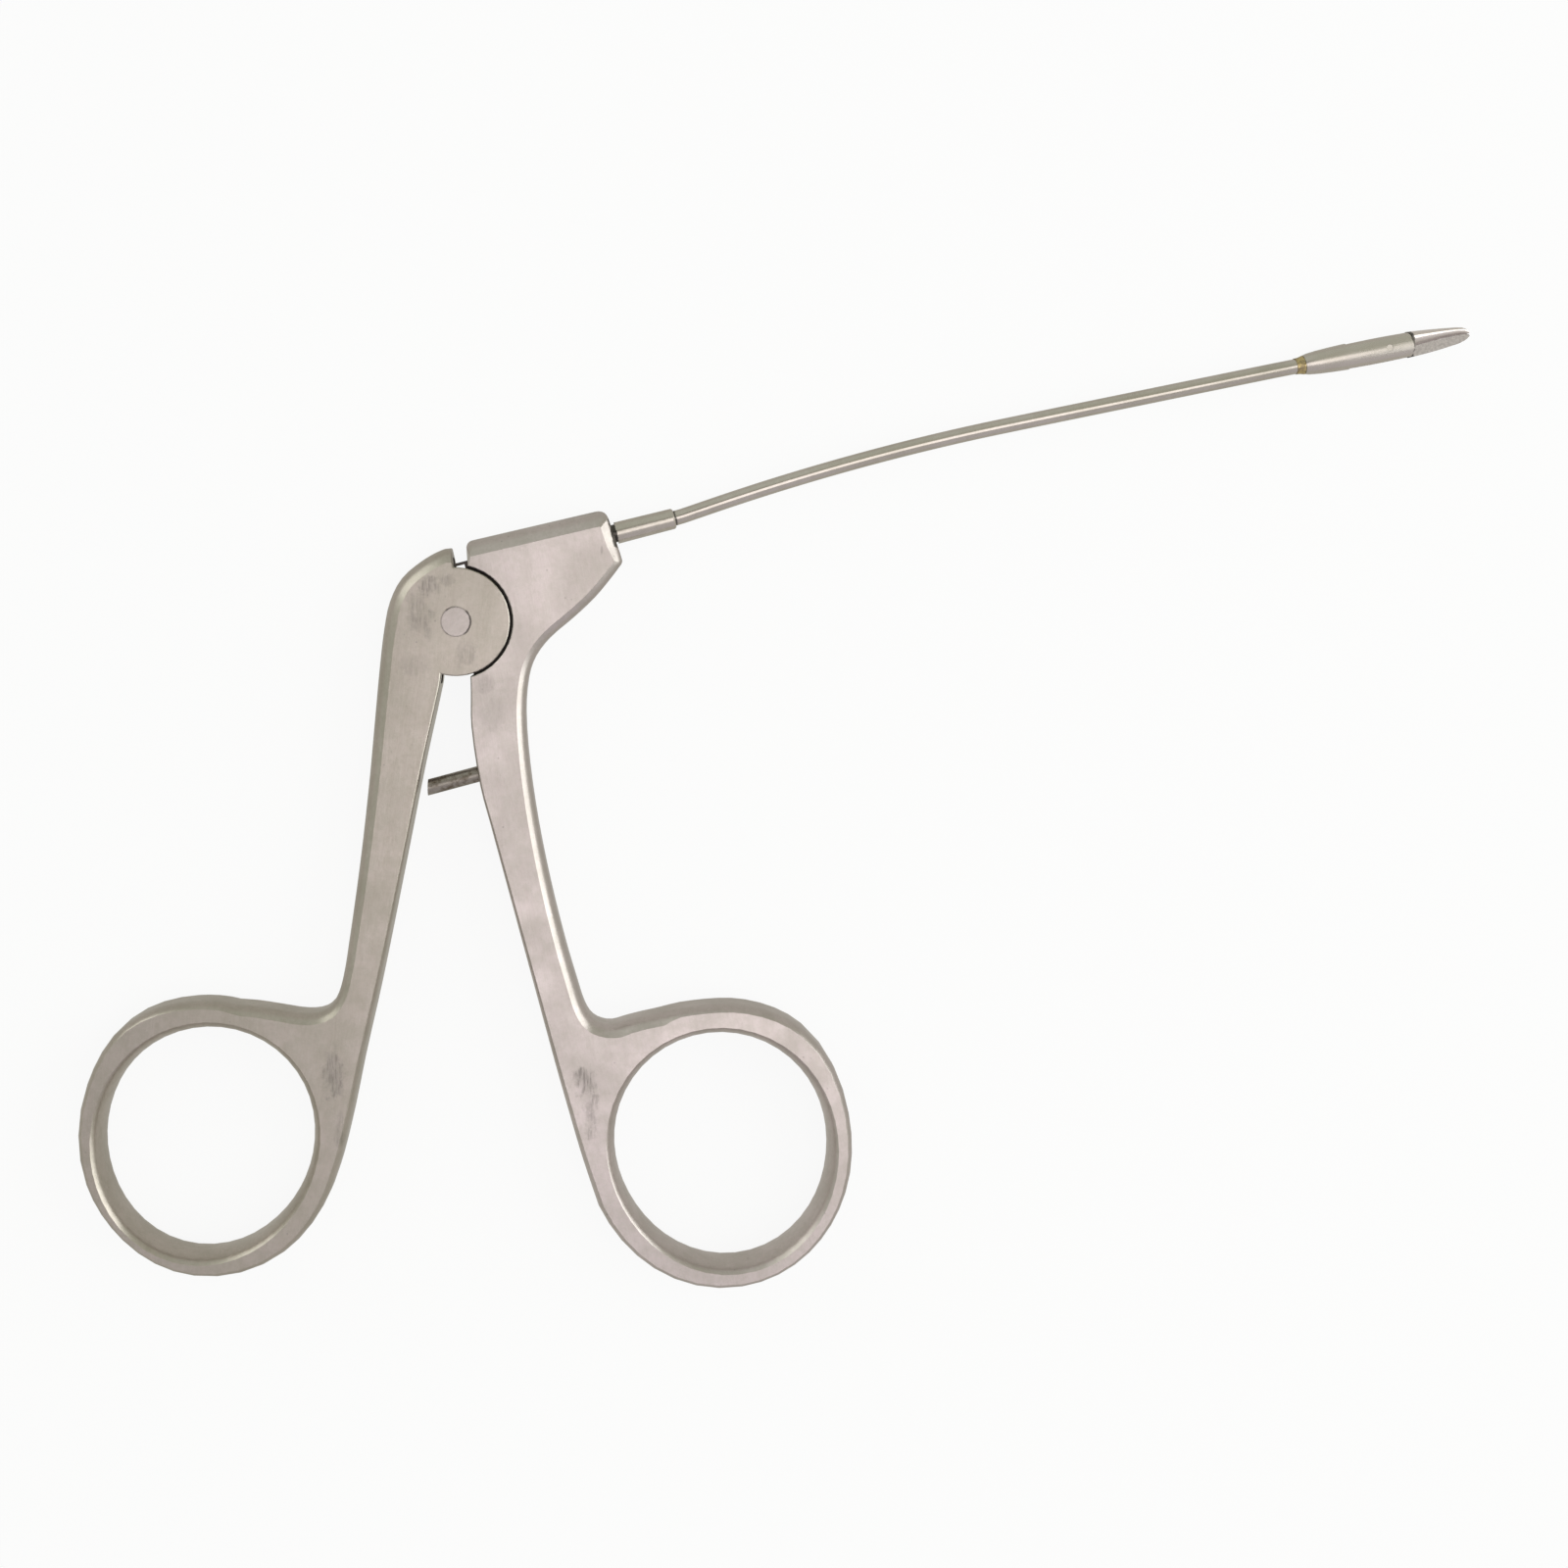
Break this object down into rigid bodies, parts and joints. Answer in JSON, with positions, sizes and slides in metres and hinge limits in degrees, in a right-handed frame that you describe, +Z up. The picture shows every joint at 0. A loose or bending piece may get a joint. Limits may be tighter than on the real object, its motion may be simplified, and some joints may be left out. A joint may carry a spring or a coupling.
{
  "type": "ear scissors",
  "caption": "Slim ear scissors: finger-ring handles hinged at a forked hub, a gently bent shaft tube and small scissor blades worked by a pull wire.",
  "frame": {"origin": "on the handle pivot's axis at the instrument's underside", "axes": "+X from the handles towards the blade tips, +Y away from the finger rings, +Z up out of the underside along the pivot's axis"},
  "size_m": [0.1274, 0.0877, 0.005],
  "materials": {
    "handle_steel": "satin ground stainless steel",
    "shaft_steel": "polished stainless steel",
    "blade_steel": "fine ground stainless steel",
    "pin_steel": "dull stained steel",
    "braze": "brazing metal"
  },
  "bodies": {
    "front_frame": {"front_handle": "handle_steel", "stop_pin": "pin_steel", "collar": "shaft_steel", "shaft_tube": "shaft_steel", "braze_ring": "braze", "jaw_head": "shaft_steel", "blade_pivot_pin": "pin_steel"},
    "rear_lever": {"rear_handle": "handle_steel", "pivot_pin": "handle_steel"},
    "wire_train": {"pull_wire": "pin_steel", "wire_block": "pin_steel", "anchor_pin": "pin_steel", "drive_yoke": "pin_steel", "drive_pin": "pin_steel"},
    "upper_jaw": {"upper_blade": "blade_steel"},
    "lower_jaw": {"lower_blade": "blade_steel"}
  },
  "joints": [
    {"name": "handle_hinge", "type": "hinge", "parent": "front_frame", "child": "rear_lever", "pos_m": [0, 0, 0.0025], "axis": [0, 0, 1], "range_deg": [-12.5, 2]},
    {"name": "wire_slide", "type": "slide", "parent": "front_frame", "child": "wire_train", "axis": [0.9694, 0.2453, 0], "range_m": [-0.00016, 0.00095]},
    {"name": "upper_blade_hinge", "type": "hinge", "parent": "front_frame", "child": "upper_jaw", "pos_m": [0.08511, 0.02498, 0.0025], "axis": [0, 0, 1], "range_deg": [-3.3, 20.1]},
    {"name": "lower_blade_hinge", "type": "hinge", "parent": "front_frame", "child": "lower_jaw", "pos_m": [0.08511, 0.02498, 0.0025], "axis": [0, 0, 1], "range_deg": [-20.1, 3.3]}
  ],
  "couplings": [
    {"joint": "wire_slide", "follows": "handle_hinge", "m_per_rad": -0.0042866},
    {"joint": "upper_blade_hinge", "follows": "handle_hinge", "ratio": -1.6},
    {"joint": "lower_blade_hinge", "follows": "handle_hinge", "ratio": 1.6}
  ]
}
